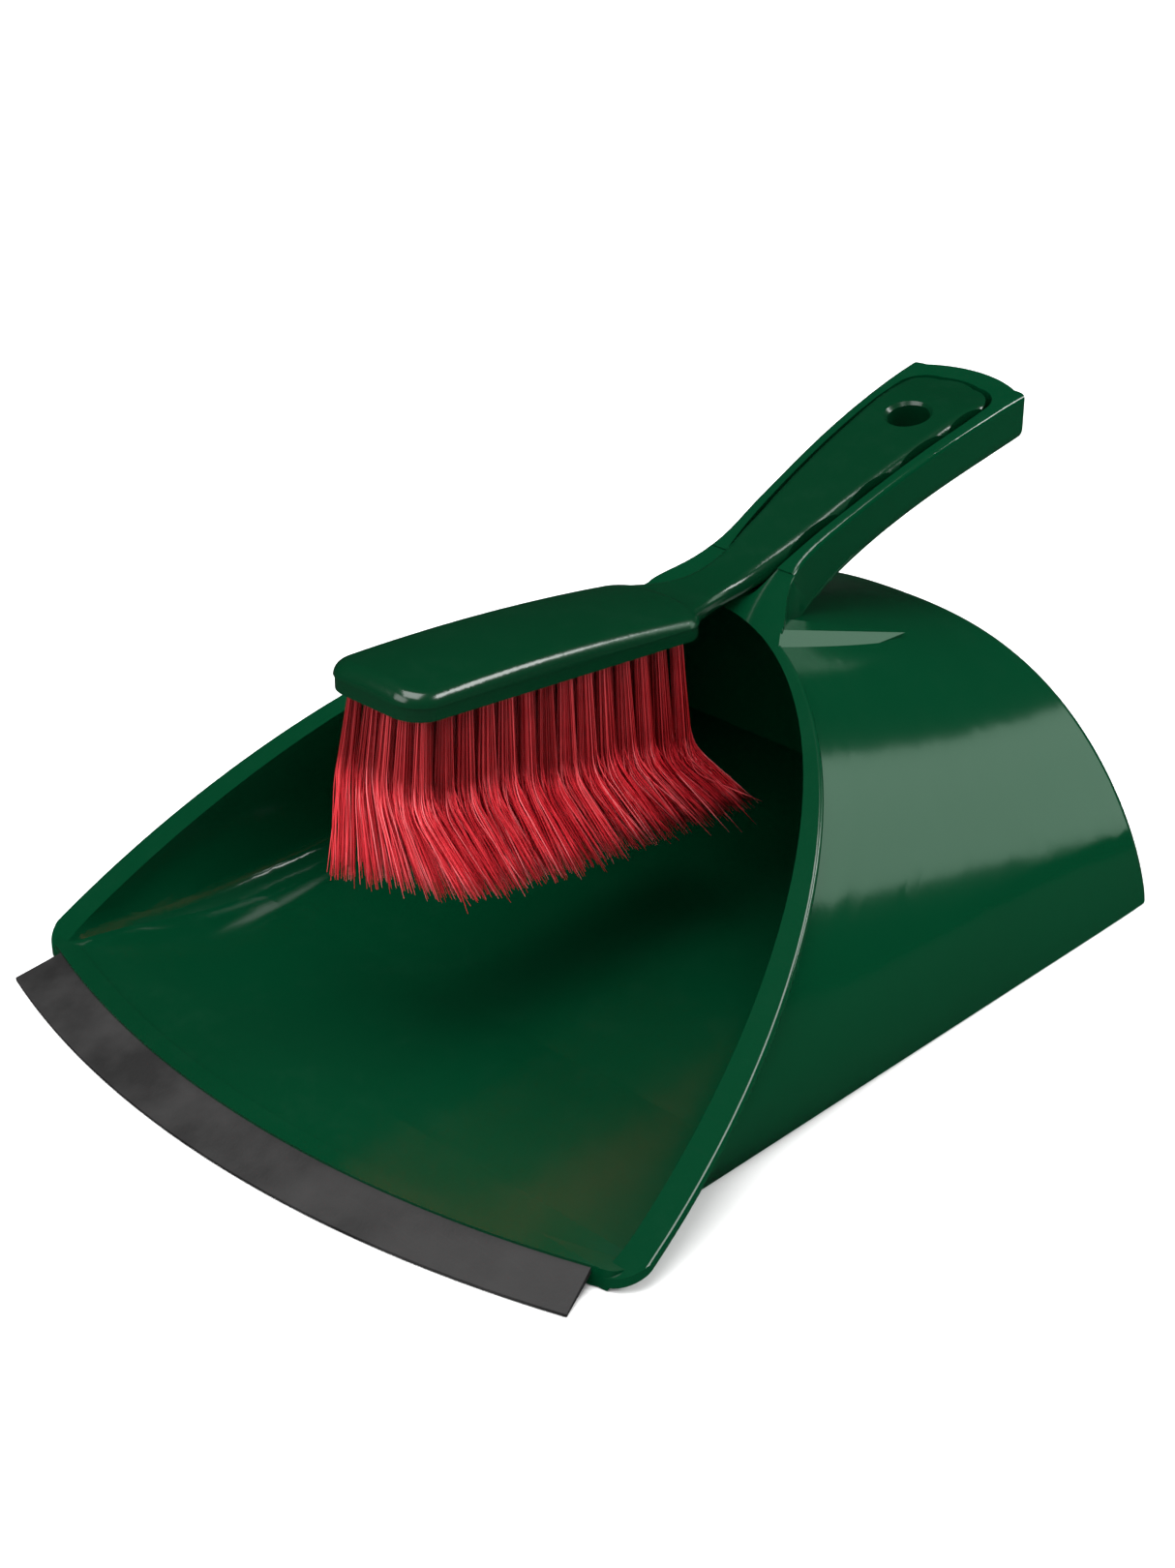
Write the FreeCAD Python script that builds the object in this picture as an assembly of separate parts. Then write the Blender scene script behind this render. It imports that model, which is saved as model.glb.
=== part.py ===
"""Dust pan with a hooded pan, a soft front lip, and a hand brush nested in the pan's handle.

Millimetres, +Z up, -Y towards the front lip, +Y towards the handles, X across.
The origin is the middle of the flat base that the pan stands on.
While it is modelled, the set is measured from the pan's front corners: "station" is the
distance behind them. Every finished shape is then moved by BASE_MIDDLE to the origin.
"""
import FreeCAD
import Part
import math
import os

Vector = FreeCAD.Vector
X_AXIS = Vector(1, 0, 0)
Z_AXIS = Vector(0, 0, 1)

BASE_MIDDLE = 165.0

# Pan shell
WALL = 2.4
FLOOR = 2.4
BACK_STATION = 290.0
BACK_HALF_WIDTH = 115.2
BACK_HEIGHT = 83.0
BACK_POWER_X = 2.65
BACK_POWER_Z = 1.39
BACK_EDGE_RADIUS = 4.0
MOUTH_TILT = 29.6
MOUTH_STATION = -7.2
MOUTH_HALF_WIDTH = 137.6
MOUTH_LENGTH = 227.0
MOUTH_POWER = 1.87
FLANGE_REACH = 8.0
FLANGE_THICKNESS = 2.8
FLANGE_EDGE_RADIUS = 0.9
MOUTH_CLEARANCE = 30.0

# The foot of the side wall is drawn in to a straight, narrower base
BASE_HALF_WIDTH = 115.4
BASE_STRAIGHT_FROM = 0.19
BASE_TUCK_HEIGHT = 36.0
INNER_FOOT_RADIUS = 11.0

# Front edge, which is an arc bowed forwards, and the floor's ramp behind it
FRONT_HALF_WIDTH = 125.0
FRONT_BOW = 21.0
FRONT_CORNER_RADIUS = 6.0
RIM_CORNER_RADIUS = 12.0
RIM_CLIP_TOP = 60.0
FRONT_TOP = 7.0
FRONT_BOTTOM = 1.6
FRONT_BAND = 7.0
FRONT_BAND_STEP = 0.7
RAMP_END = 75.0
RAMP_UNDERSIDE_END = 30.0
NECK_STATION = 50.0

# Soft lip
LIP_REACH = 16.0
LIP_SEAT = 5.0
LIP_THICKNESS = 2.2
LIP_TIP_THICKNESS = 1.0
LIP_TOP = 6.1
LIP_TAIL_LIFT = 0.6
LIP_TAIL_TAPER = 0.4
LIP_END_ANGLE = 0.35

# Pan handle: station, half width, rim height, underside height
HANDLE_SECTIONS = (
    (186.0, 30.0, 110.0, 92.0),
    (197.0, 23.0, 117.0, 94.0),
    (210.0, 17.8, 123.6, 98.5),
    (224.0, 17.9, 129.6, 107.5),
    (240.0, 19.2, 135.2, 115.5),
    (260.0, 20.9, 141.6, 122.8),
    (280.0, 22.5, 147.0, 128.4),
    (300.0, 23.9, 151.3, 132.8),
    (320.0, 24.9, 154.6, 136.6),
    (336.0, 25.4, 156.6, 139.4),
)
HANDLE_END = 328.0
HANDLE_END_BOW = 5.0
HANDLE_END_SLOPE = ((323.0, 132.6), (329.0, 155.1))
HANDLE_END_SPARE = 8.0
HANDLE_END_RADIUS = 14.0
HANDLE_LOW_RADIUS = 6.0
HANDLE_RIM_RADIUS = 1.6

# Trough in the pan's handle: its clearance round the brush's neck and grip
TROUGH_SIDE_GAP = 1.2
TROUGH_FLOOR_GAP = 0.7
TROUGH_HEADROOM = 60.0
TROUGH_TOP_RADIUS = 1.0
TROUGH_END_GAP = 1.6
TROUGH_END_BOW = 1.5

# Spurs that fair the handle's root into the hood: outline of the front end, and the tail
SPUR_FRONT = 168.0
SPUR_OUTLINE = ((16.0, 120.0), (27.0, 117.0), (41.0, 101.0), (41.0, 84.0), (16.0, 84.0))
SPUR_TAIL = (34.0, 248.0, 91.0)
MOUTH_FLUSH_END = 206.0
ROOT_CUT_HALF_WIDTH = 60.0
ROOT_CUT_START = 100.0

# Brush block, whose underside falls towards the handle
BLOCK_FRONT = 31.5
BLOCK_REAR = 164.0
BLOCK_HALF_WIDTH = 20.8
BLOCK_FRONT_RADIUS = 10.0
BLOCK_REAR_RADIUS = 12.0
BLOCK_UNDER_FRONT = 129.0
BLOCK_UNDER_REAR = 114.2
BLOCK_CROWN_STATION = -8.0
BLOCK_CROWN_TOP = 139.8
BLOCK_CROWN_LENGTH_RADIUS = 880.0
BLOCK_CROWN_CROSS_RADIUS = 105.0
BLOCK_TOP_RADIUS = 5.0
SKIRT_HEIGHT = 4.6
SKIRT_STEP = 0.5

# Brush neck and grip: station, half width, top height, thickness
GRIP_SECTIONS = (
    (142.0, 17.6, 125.2, 8.6),
    (152.0, 17.0, 123.9, 8.0),
    (161.0, 14.8, 122.6, 7.6),
    (170.0, 11.6, 121.3, 7.2),
    (180.0, 9.3, 120.8, 7.0),
    (190.0, 8.8, 121.4, 7.2),
    (202.0, 9.6, 124.0, 8.4),
    (214.0, 11.2, 127.8, 10.4),
    (226.0, 12.6, 132.0, 12.6),
    (240.0, 14.0, 137.0, 15.0),
    (260.0, 15.7, 143.4, 16.4),
    (280.0, 17.2, 148.8, 16.4),
    (300.0, 18.3, 153.0, 16.2),
    (330.0, 19.0, 158.0, 16.2),
)
GRIP_END = 317.5
GRIP_END_RADIUS = 11.0
GRIP_END_BOW = 2.0
GRIP_END_TRIM = 0.9
GRIP_START = 120.0
GRIP_END_EDGE = 1.5
GRIP_TOP_RADIUS = 3.0
GRIP_TOP_SHARE = 0.36
GRIP_LOW_RADIUS = 4.0
GRIP_LOW_SHARE = 0.42
FINGER_STATIONS = (218.0, 245.0, 271.0, 296.0)
FINGER_RADIUS = 46.0
FINGER_DEPTH = 1.3

# Hanging hole through both handles
HOLE_STATION = 288.0
HOLE_HEIGHT = 150.6
HOLE_RADIUS = 7.5
PAN_HOLE_RADIUS = 8.8
HOLE_TILT = 13.0
HOLE_EDGE = 1.0
HOLE_REACH = 40.0

# Bristles: fourteen columns of five tufts
COLUMN_COUNT = 14
ROW_COUNT = 5
FIRST_COLUMN = 41.0
COLUMN_PITCH = 8.5
ROW_PITCH = 7.4
TUFT_RADIUS = 2.2
HOLE_CLEARANCE = 0.06
TUFT_SEAT = 6.8
TUFT_STRAIGHT_FRONT = 28.0
TUFT_STRAIGHT_REAR = 38.0
TUFT_BEND_RADIUS = 9.0
TUFT_SWEPT = 36.0
FAN_FRONT = -8.0
FAN_REAR = 1.0
FAN_SIDE = 4.0
SWEEP_FRONT = 14.0
SWEEP_REAR = 45.0

# Flat wire anchors that hold each tuft down in its hole
ANCHOR_LENGTH = 5.4
ANCHOR_WIDTH = 1.6
ANCHOR_THICKNESS = 0.5
ANCHOR_SINK = 0.6

# How finely the arched outlines are sampled, and where along the hood they are blended
ARCH_SAMPLES = 2000
ARCH_COUNT = 40
HOOD_SHARES = (0.0, 0.05, 0.1, 0.15, 0.2, 0.27, 0.36, 0.5, 0.65, 0.8, 0.9, 1.0)

# Faces closer than this are taken as touching when solids are joined
JOIN_TOLERANCE = 0.001

# Points closer than this are the same point
MATCH = 0.01

# Reach of the shapes that only cut others
OVERSHOOT = 5.0
FAR = 400.0
PRISM_BOTTOM = 60.0
PRISM_TOP = 200.0


def box(x_low, x_high, y_low, y_high, z_low, z_high):
    """Return an upright box between two corners."""
    corner = Vector(x_low, y_low, z_low)
    return Part.makeBox(x_high - x_low, y_high - y_low, z_high - z_low, corner)


def polygon_prism(points, direction):
    """Extrude the closed polygon through the points along a vector."""
    face = Part.Face(Part.makePolygon(points + [points[0]]))
    return face.extrude(direction)


def arch(half_width, height, power_x, power_z, count):
    """Return count + 1 (across, up) points, evenly spaced along a half superellipse."""
    fine = []
    for step in range(ARCH_SAMPLES + 1):
        angle = math.pi * step / ARCH_SAMPLES
        cosine = math.cos(angle)
        across = math.copysign(abs(cosine) ** (2 / power_x), cosine) * half_width
        fine.append((across, max(math.sin(angle), 0.0) ** (2 / power_z) * height))
    lengths = [0.0]
    for last, point in zip(fine, fine[1:]):
        lengths.append(lengths[-1] + math.dist(last, point))
    points = [fine[0]]
    place = 1
    for step in range(1, count):
        target = lengths[-1] * step / count
        while lengths[place] < target:
            place += 1
        share = (target - lengths[place - 1]) / (lengths[place] - lengths[place - 1])
        before = fine[place - 1]
        after = fine[place]
        points.append(tuple(low + (high - low) * share for low, high in zip(before, after)))
    points.append(fine[-1])
    return points


def mouth_point(across, along):
    """Place a point of the slanted mouth plane in space."""
    tilt = math.radians(MOUTH_TILT)
    return Vector(across, MOUTH_STATION + along * math.cos(tilt), along * math.sin(tilt))


def mouth_normal():
    """Return the unit vector that points out of the mouth."""
    tilt = math.radians(MOUTH_TILT)
    return Vector(0, -math.sin(tilt), math.cos(tilt))


def tuck(share, height):
    """Return how far the foot of the side wall is drawn in; share is 0 at the mouth, 1 at the back."""
    if height >= BASE_TUCK_HEIGHT:
        return 0.0
    start = min(max(share / BASE_STRAIGHT_FROM, 0.0), 1.0)
    start = start * start * (3 - 2 * start)
    mouth_side = MOUTH_HALF_WIDTH - FLANGE_REACH
    side = mouth_side + (BACK_HALF_WIDTH - mouth_side) * share
    return (side - BASE_HALF_WIDTH) * start * (1 - height / BASE_TUCK_HEIGHT) ** 2


def hood_solid(inset):
    """Return the hood as a full solid, set in from the outside by inset.

    Its skin runs from the half oval of the mouth to the arch of the back wall.
    """
    mouth_arch = arch(MOUTH_HALF_WIDTH - FLANGE_REACH - inset, MOUTH_LENGTH - inset,
                      MOUTH_POWER, MOUTH_POWER, ARCH_COUNT)
    back_arch = arch(BACK_HALF_WIDTH - inset, BACK_HEIGHT - inset,
                     BACK_POWER_X, BACK_POWER_Z, ARCH_COUNT)
    grid = []
    for share in HOOD_SHARES:
        row = []
        for mouth, back in zip(mouth_arch, back_arch):
            front = mouth_point(mouth[0], mouth[1])
            rear = Vector(back[0], BACK_STATION - inset, back[1])
            point = front + (rear - front) * share
            point.x -= math.copysign(tuck(share, point.z), point.x)
            row.append(point)
        grid.append(row)
    skin = Part.BSplineSurface()
    skin.interpolate(grid)
    face = skin.toShape()
    faces = [face]
    for row in (grid[0], grid[-1]):
        faces.append(end_face(face, row[0], row[-1]))
    faces.append(base_face(face, grid))
    shell = Part.makeShell(faces)
    shell.sewShape()
    solid = Part.makeSolid(shell)
    if solid.Volume < 0:
        solid.reverse()
    return solid


def edge_between(face, start, end):
    """Return the edge of a face that runs between two corner points."""
    for edge in face.Edges:
        tips = [vertex.Point for vertex in edge.Vertexes]
        if len(tips) < 2:
            continue
        if min(tip.distanceToPoint(start) for tip in tips) > MATCH:
            continue
        if min(tip.distanceToPoint(end) for tip in tips) > MATCH:
            continue
        return edge
    raise ValueError("no edge joins these corners")


def end_face(face, start, end):
    """Close one arched end of the hood with a plane."""
    arch = edge_between(face, start, end)
    return Part.Face(Part.Wire(Part.__sortEdges__([arch, Part.makeLine(start, end)])))


def base_face(face, grid):
    """Close the underside of the hood with a plane."""
    right = edge_between(face, grid[0][0], grid[-1][0])
    left = edge_between(face, grid[0][-1], grid[-1][-1])
    front = Part.makeLine(grid[0][0], grid[0][-1])
    back = Part.makeLine(grid[-1][0], grid[-1][-1])
    return Part.Face(Part.Wire(Part.__sortEdges__([right, back, left, front])))


def try_fillet(shape, radius, edges):
    """Round the edges, or leave them sharp where no round fits."""
    try:
        rounded = shape.makeFillet(radius, edges)
    except Part.OCCError:
        return shape
    if rounded.isValid() and rounded.Volume > 0:
        return rounded
    return shape


def mouth_slab(inset, depth):
    """Return the half oval of the mouth as a slab that starts at the mouth plane."""
    outline = arch(MOUTH_HALF_WIDTH - inset, MOUTH_LENGTH - inset,
                   MOUTH_POWER, MOUTH_POWER, ARCH_COUNT)
    points = [mouth_point(side, rise) for side, rise in outline]
    curve = Part.BSplineCurve()
    curve.interpolate(points)
    wire = Part.Wire([curve.toShape(), Part.makeLine(points[-1], points[0])])
    return Part.Face(wire).extrude(mouth_normal() * depth)


def front_arc_centre():
    """Return the radius of the front edge's arc and the station of its centre."""
    radius = (FRONT_HALF_WIDTH ** 2 + FRONT_BOW ** 2) / (2 * FRONT_BOW)
    return radius, radius - FRONT_BOW


def front_plan(corner_radius):
    """Return the plan of the pan's front, with rounded corners that run back to the base."""
    diagonal = corner_radius * math.sqrt(0.5)
    points = {
        "bow": Vector(0, -FRONT_BOW, 0),
        "corner": Vector(FRONT_HALF_WIDTH, 0, 0),
        "round": Vector(FRONT_HALF_WIDTH + diagonal, corner_radius - diagonal, 0),
        "side": Vector(FRONT_HALF_WIDTH + corner_radius, corner_radius, 0),
        "neck": Vector(BASE_HALF_WIDTH, NECK_STATION, 0),
        "back": Vector(BASE_HALF_WIDTH, RAMP_END, 0),
    }
    left = {name: Vector(-point.x, point.y, 0) for name, point in points.items()}
    edges = [
        Part.Arc(left["corner"], points["bow"], points["corner"]).toShape(),
        Part.Arc(points["corner"], points["round"], points["side"]).toShape(),
        Part.makeLine(points["side"], points["neck"]),
        Part.makeLine(points["neck"], points["back"]),
        Part.makeLine(points["back"], left["back"]),
        Part.makeLine(left["back"], left["neck"]),
        Part.makeLine(left["neck"], left["side"]),
        Part.Arc(left["side"], left["round"], left["corner"]).toShape(),
    ]
    return Part.Face(Part.Wire(edges))


def front_floor():
    """Return the thick front edge of the floor and the ramp that falls behind it."""
    profile = [
        Vector(-FAR, -FRONT_BOW - OVERSHOOT, FRONT_BOTTOM),
        Vector(-FAR, -FRONT_BOW - OVERSHOOT, FRONT_TOP),
        Vector(-FAR, 0, FRONT_TOP),
        Vector(-FAR, RAMP_END, FLOOR),
        Vector(-FAR, RAMP_END, 0),
        Vector(-FAR, RAMP_UNDERSIDE_END, 0),
        Vector(-FAR, 0, FRONT_BOTTOM),
    ]
    slab = polygon_prism(profile, Vector(2 * FAR, 0, 0))
    plan = front_plan(FRONT_CORNER_RADIUS).extrude(Vector(0, 0, FRONT_TOP + OVERSHOOT))
    radius, centre = front_arc_centre()
    inner = Part.makeCylinder(radius - FRONT_BAND, FAR, Vector(0, centre, FRONT_TOP - FRONT_BAND_STEP))
    step = inner.common(box(-FAR, FAR, -FRONT_BOW, NECK_STATION, 0, FAR))
    return slab.common(plan).cut(step)


def rounded_section(station, half_width, low, high, low_radius, high_radius):
    """Return a rounded rectangle across the set at a station, as a closed wire."""
    corners = (
        (half_width, low, low_radius, -90),
        (half_width, high, high_radius, 0),
        (-half_width, high, high_radius, 90),
        (-half_width, low, low_radius, 180),
    )
    edges = []
    last = None
    first = None
    for side, height, radius, start in corners:
        middle_x = side - math.copysign(radius, side)
        middle_z = height + (radius if height == low else -radius)
        turn = []
        for degrees in (start, start + 45, start + 90):
            angle = math.radians(degrees)
            turn.append(Vector(
                middle_x + radius * math.cos(angle), station, middle_z + radius * math.sin(angle)))
        if last is not None:
            edges.append(Part.makeLine(last, turn[0]))
        else:
            first = turn[0]
        edges.append(Part.Arc(turn[0], turn[1], turn[2]).toShape())
        last = turn[2]
    edges.append(Part.makeLine(last, first))
    return Part.Wire(edges)


def end_prism(half_width, end, bow, corner_radius, start):
    """Return an upright prism from a start station to a bowed end with rounded corners."""
    inner = half_width - corner_radius
    square = end - bow
    diagonal = corner_radius * (1 - math.sqrt(0.5))
    edges = [
        Part.makeLine(Vector(-half_width, start, 0), Vector(half_width, start, 0)),
        Part.makeLine(Vector(half_width, start, 0), Vector(half_width, square - corner_radius, 0)),
        Part.Arc(Vector(half_width, square - corner_radius, 0),
                 Vector(half_width - diagonal, square - diagonal, 0),
                 Vector(inner, square, 0)).toShape(),
        Part.Arc(Vector(inner, square, 0), Vector(0, end, 0), Vector(-inner, square, 0)).toShape(),
        Part.Arc(Vector(-inner, square, 0),
                 Vector(-half_width + diagonal, square - diagonal, 0),
                 Vector(-half_width, square - corner_radius, 0)).toShape(),
        Part.makeLine(Vector(-half_width, square - corner_radius, 0), Vector(-half_width, start, 0)),
    ]
    prism = Part.Face(Part.Wire(edges)).extrude(Vector(0, 0, PRISM_TOP - PRISM_BOTTOM))
    prism.translate(Vector(0, 0, PRISM_BOTTOM))
    return prism


def pan_handle_outside():
    """Return the pan's handle as a full solid, its root sunk in the hood."""
    wires = []
    for station, half_width, rim, underside in HANDLE_SECTIONS:
        wires.append(rounded_section(
            station, half_width, underside, rim, HANDLE_LOW_RADIUS, HANDLE_RIM_RADIUS))
    body = Part.makeLoft(wires, True, False)
    widest = HANDLE_SECTIONS[-1][1] + HANDLE_END_SPARE
    body = body.common(end_prism(widest, HANDLE_END, HANDLE_END_BOW, HANDLE_END_RADIUS, GRIP_START))
    low, high = HANDLE_END_SLOPE
    slope = [
        Vector(-FAR, low[0], low[1]),
        Vector(-FAR, high[0], high[1]),
        Vector(-FAR, FAR, high[1]),
        Vector(-FAR, FAR, low[1]),
    ]
    return body.cut(polygon_prism(slope, Vector(2 * FAR, 0, 0)))


def trough():
    """Return the hollow that the brush's neck and grip lie in, open above and at the front."""
    wires = []
    for station, half_width, top, thickness in GRIP_SECTIONS:
        wires.append(rounded_section(
            station, half_width + TROUGH_SIDE_GAP,
            top - thickness - TROUGH_FLOOR_GAP, top + TROUGH_HEADROOM,
            min(GRIP_LOW_RADIUS, thickness * GRIP_LOW_SHARE), TROUGH_TOP_RADIUS))
    hollow = Part.makeLoft(wires, True, False)
    widest = GRIP_SECTIONS[-1][1] - GRIP_END_TRIM + TROUGH_SIDE_GAP
    return hollow.common(
        end_prism(widest, GRIP_END + TROUGH_END_GAP, TROUGH_END_BOW, GRIP_END_RADIUS, GRIP_START))


def spurs():
    """Return the two tapered spurs that run back from the handle's root along the hood."""
    shapes = []
    for side in (-1, 1):
        points = [Vector(side * across, SPUR_FRONT, up) for across, up in SPUR_OUTLINE]
        outline = Part.makePolygon(points + [points[0]])
        tail = Part.Vertex(side * SPUR_TAIL[0], SPUR_TAIL[1], SPUR_TAIL[2])
        shapes.append(Part.makeLoft([outline, tail], True, True))
    return shapes


def ahead_of_mouth():
    """Return the space in front of the mouth plane beside the handle's root."""
    low = mouth_point(-ROOT_CUT_HALF_WIDTH, ROOT_CUT_START)
    end = (MOUTH_FLUSH_END - MOUTH_STATION) / math.cos(math.radians(MOUTH_TILT))
    high = mouth_point(-ROOT_CUT_HALF_WIDTH, end)
    width = Vector(2 * ROOT_CUT_HALF_WIDTH, 0, 0)
    face = Part.Face(Part.makePolygon([low, low + width, high + width, high, low]))
    return face.extrude(mouth_normal() * ROOT_CUT_HALF_WIDTH)


def lip_profile():
    """Return the lip's section as (radius from the arc's centre, height) pairs."""
    edge, _ = front_arc_centre()
    return [
        (edge - LIP_SEAT, LIP_TOP + LIP_TAIL_LIFT - LIP_THICKNESS),
        (edge - LIP_SEAT, LIP_TOP + LIP_TAIL_LIFT - LIP_TAIL_TAPER),
        (edge, LIP_TOP),
        (edge + LIP_REACH, LIP_TIP_THICKNESS),
        (edge + LIP_REACH, 0),
        (edge, LIP_TOP - LIP_THICKNESS),
    ]


def rubber_lip():
    """Return the soft lip, which is an arc of one thin sloping section."""
    radius, centre = front_arc_centre()
    points = [Vector(0, centre - distance, height) for distance, height in lip_profile()]
    face = Part.Face(Part.makePolygon(points + [points[0]]))
    half_angle = math.degrees(math.asin(FRONT_HALF_WIDTH / radius)) - LIP_END_ANGLE
    centre_point = Vector(0, centre, 0)
    face.rotate(centre_point, Z_AXIS, -half_angle)
    return face.revolve(centre_point, Z_AXIS, 2 * half_angle)


def hole_axis():
    """Return the hanging hole's centre at the grip's top and its outward direction."""
    tilt = math.radians(HOLE_TILT)
    return Vector(0, HOLE_STATION, HOLE_HEIGHT), Vector(0, -math.sin(tilt), math.cos(tilt))


def hanging_hole(radius):
    """Return the cylinder that pierces a handle."""
    centre, axis = hole_axis()
    return Part.makeCylinder(radius, 2 * HOLE_REACH, centre - axis * HOLE_REACH, axis)


def hole_edge():
    """Return the cone that takes the sharp edge off the top of the brush's hole."""
    centre, axis = hole_axis()
    height = 3 * HOLE_EDGE
    return Part.makeCone(HOLE_RADIUS, HOLE_RADIUS + height, height, centre - axis * HOLE_EDGE, axis)


def pan_body(lip):
    """Return the pan: hood, floor, mouth band, front edge and handle as one moulding."""
    outside = hood_solid(0.0)
    rear = [edge for edge in outside.Edges if edge.BoundBox.YMin > BACK_STATION - 0.01]
    outside = try_fillet(outside, BACK_EDGE_RADIUS, rear)
    inside = hood_solid(WALL)
    inside = inside.common(box(-FAR, FAR, -FAR, FAR, FLOOR, FAR))
    inside = try_fillet(inside, INNER_FOOT_RADIUS, foot_edges(inside))
    clearance = mouth_slab(FLANGE_REACH + WALL, MOUTH_CLEARANCE)
    ahead = ahead_of_mouth()
    handle = pan_handle_outside().cut(ahead).cut(trough())
    flange = mouth_slab(0.0, -FLANGE_THICKNESS)
    flange = try_fillet(flange, FLANGE_EDGE_RADIUS, rim_edges(flange))
    solid = outside.fuse([flange], JOIN_TOLERANCE)
    solid = solid.fuse([handle] + [spur.cut(ahead) for spur in spurs()], JOIN_TOLERANCE)
    solid = solid.cut(inside)
    solid = solid.cut(clearance)
    solid = solid.fuse(front_floor())
    solid = solid.cut(box(-FAR, FAR, -FAR, FAR, -FAR, 0))
    corners = box(-FAR, FAR, -FAR, RIM_CORNER_RADIUS, -OVERSHOOT, RIM_CLIP_TOP).cut(front_clip())
    solid = solid.cut(corners)
    solid = solid.cut(lip)
    solid = solid.cut(trough())
    solid = solid.cut(hanging_hole(PAN_HOLE_RADIUS))
    return solid.removeSplitter()


def foot_edges(solid):
    """Return the two long edges where the hood's inner sides stand on its floor."""
    return [edge for edge in solid.Edges
            if edge.BoundBox.ZMax < FLOOR + 0.01 and edge.BoundBox.YLength > BACK_STATION / 2]


def rim_edges(flange):
    """Return the curved edges of the mouth's flange."""
    return [edge for edge in flange.Edges if edge.Length > MOUTH_LENGTH * 1.5]


def front_clip():
    """Return the space behind the front arc and its rounded corners."""
    plan = front_plan(RIM_CORNER_RADIUS).extrude(Vector(0, 0, RIM_CLIP_TOP + 3 * OVERSHOOT))
    plan.translate(Vector(0, 0, -2 * OVERSHOOT))
    return plan


def block_underside(station):
    """Return the height of the block's underside at a station."""
    share = (station - BLOCK_FRONT) / (BLOCK_REAR - BLOCK_FRONT)
    return BLOCK_UNDER_FRONT + (BLOCK_UNDER_REAR - BLOCK_UNDER_FRONT) * share


def block_plan(inset):
    """Return the block's rounded plan as a tall prism."""
    prism = box(-BLOCK_HALF_WIDTH + inset, BLOCK_HALF_WIDTH - inset,
                BLOCK_FRONT + inset, BLOCK_REAR - inset, PRISM_BOTTOM, PRISM_TOP)
    front = [edge for edge in prism.Edges
             if edge.BoundBox.ZLength > OVERSHOOT and edge.BoundBox.YMax < BLOCK_REAR - OVERSHOOT]
    prism = prism.makeFillet(BLOCK_FRONT_RADIUS - inset, front)
    rear = [edge for edge in prism.Edges
            if edge.BoundBox.ZLength > OVERSHOOT and edge.BoundBox.YMin > BLOCK_REAR - inset - MATCH]
    return prism.makeFillet(BLOCK_REAR_RADIUS - inset, rear)


def block_crown():
    """Return the big ring whose outer skin gives the block's doubly bowed top."""
    ring = BLOCK_CROWN_LENGTH_RADIUS - BLOCK_CROWN_CROSS_RADIUS
    centre = Vector(0, BLOCK_CROWN_STATION, BLOCK_CROWN_TOP - BLOCK_CROWN_LENGTH_RADIUS)
    return Part.makeTorus(ring, BLOCK_CROWN_CROSS_RADIUS, centre, X_AXIS, -180, 180, 360)


def brush_block():
    """Return the block that holds the bristles, without its holes."""
    front = BLOCK_FRONT - OVERSHOOT
    rear = BLOCK_REAR + OVERSHOOT
    skirt_profile = [
        Vector(-FAR, front, block_underside(front)),
        Vector(-FAR, rear, block_underside(rear)),
        Vector(-FAR, rear, block_underside(rear) + SKIRT_HEIGHT),
        Vector(-FAR, front, block_underside(front) + SKIRT_HEIGHT),
    ]
    skirt = block_plan(SKIRT_STEP).common(polygon_prism(skirt_profile, Vector(2 * FAR, 0, 0)))
    top_profile = [
        Vector(-FAR, front, block_underside(front) + SKIRT_HEIGHT - MATCH),
        Vector(-FAR, rear, block_underside(rear) + SKIRT_HEIGHT - MATCH),
        Vector(-FAR, rear, PRISM_TOP),
        Vector(-FAR, front, PRISM_TOP),
    ]
    top = block_plan(0.0).common(block_crown())
    upper = [edge for edge in top.Edges if edge.BoundBox.ZMin > BLOCK_UNDER_REAR]
    top = try_fillet(top, BLOCK_TOP_RADIUS, upper)
    top = top.common(polygon_prism(top_profile, Vector(2 * FAR, 0, 0)))
    return top.fuse(skirt)


def brush_grip():
    """Return the neck and the grip, which lie in the pan's handle."""
    wires = []
    for station, half_width, top, thickness in GRIP_SECTIONS:
        low_radius = min(GRIP_LOW_RADIUS, thickness * GRIP_LOW_SHARE)
        high_radius = min(GRIP_TOP_RADIUS, thickness * GRIP_TOP_SHARE)
        wires.append(rounded_section(
            station, half_width, top - thickness, top, low_radius, high_radius))
    grip = Part.makeLoft(wires, True, False)
    widest = GRIP_SECTIONS[-1][1] - GRIP_END_TRIM
    grip = grip.common(end_prism(widest, GRIP_END, GRIP_END_BOW, GRIP_END_RADIUS, GRIP_START))
    end_edges = [edge for edge in grip.Edges
                 if edge.BoundBox.YMin > GRIP_END - GRIP_END_RADIUS - OVERSHOOT
                 and edge.BoundBox.ZMin > HOLE_HEIGHT]
    grip = try_fillet(grip, GRIP_END_EDGE, end_edges)
    for station in FINGER_STATIONS:
        reach = grip_half_width(station) - FINGER_DEPTH + FINGER_RADIUS
        for side in (-1, 1):
            foot = Vector(side * reach, station, PRISM_BOTTOM)
            grip = grip.cut(Part.makeCylinder(FINGER_RADIUS, PRISM_TOP - PRISM_BOTTOM, foot))
    return grip


def grip_half_width(station):
    """Return half the grip's width at a station."""
    for low, high in zip(GRIP_SECTIONS, GRIP_SECTIONS[1:]):
        if low[0] <= station <= high[0]:
            share = (station - low[0]) / (high[0] - low[0])
            return low[1] + (high[1] - low[1]) * share
    raise ValueError("the grip does not reach this station")


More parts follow.
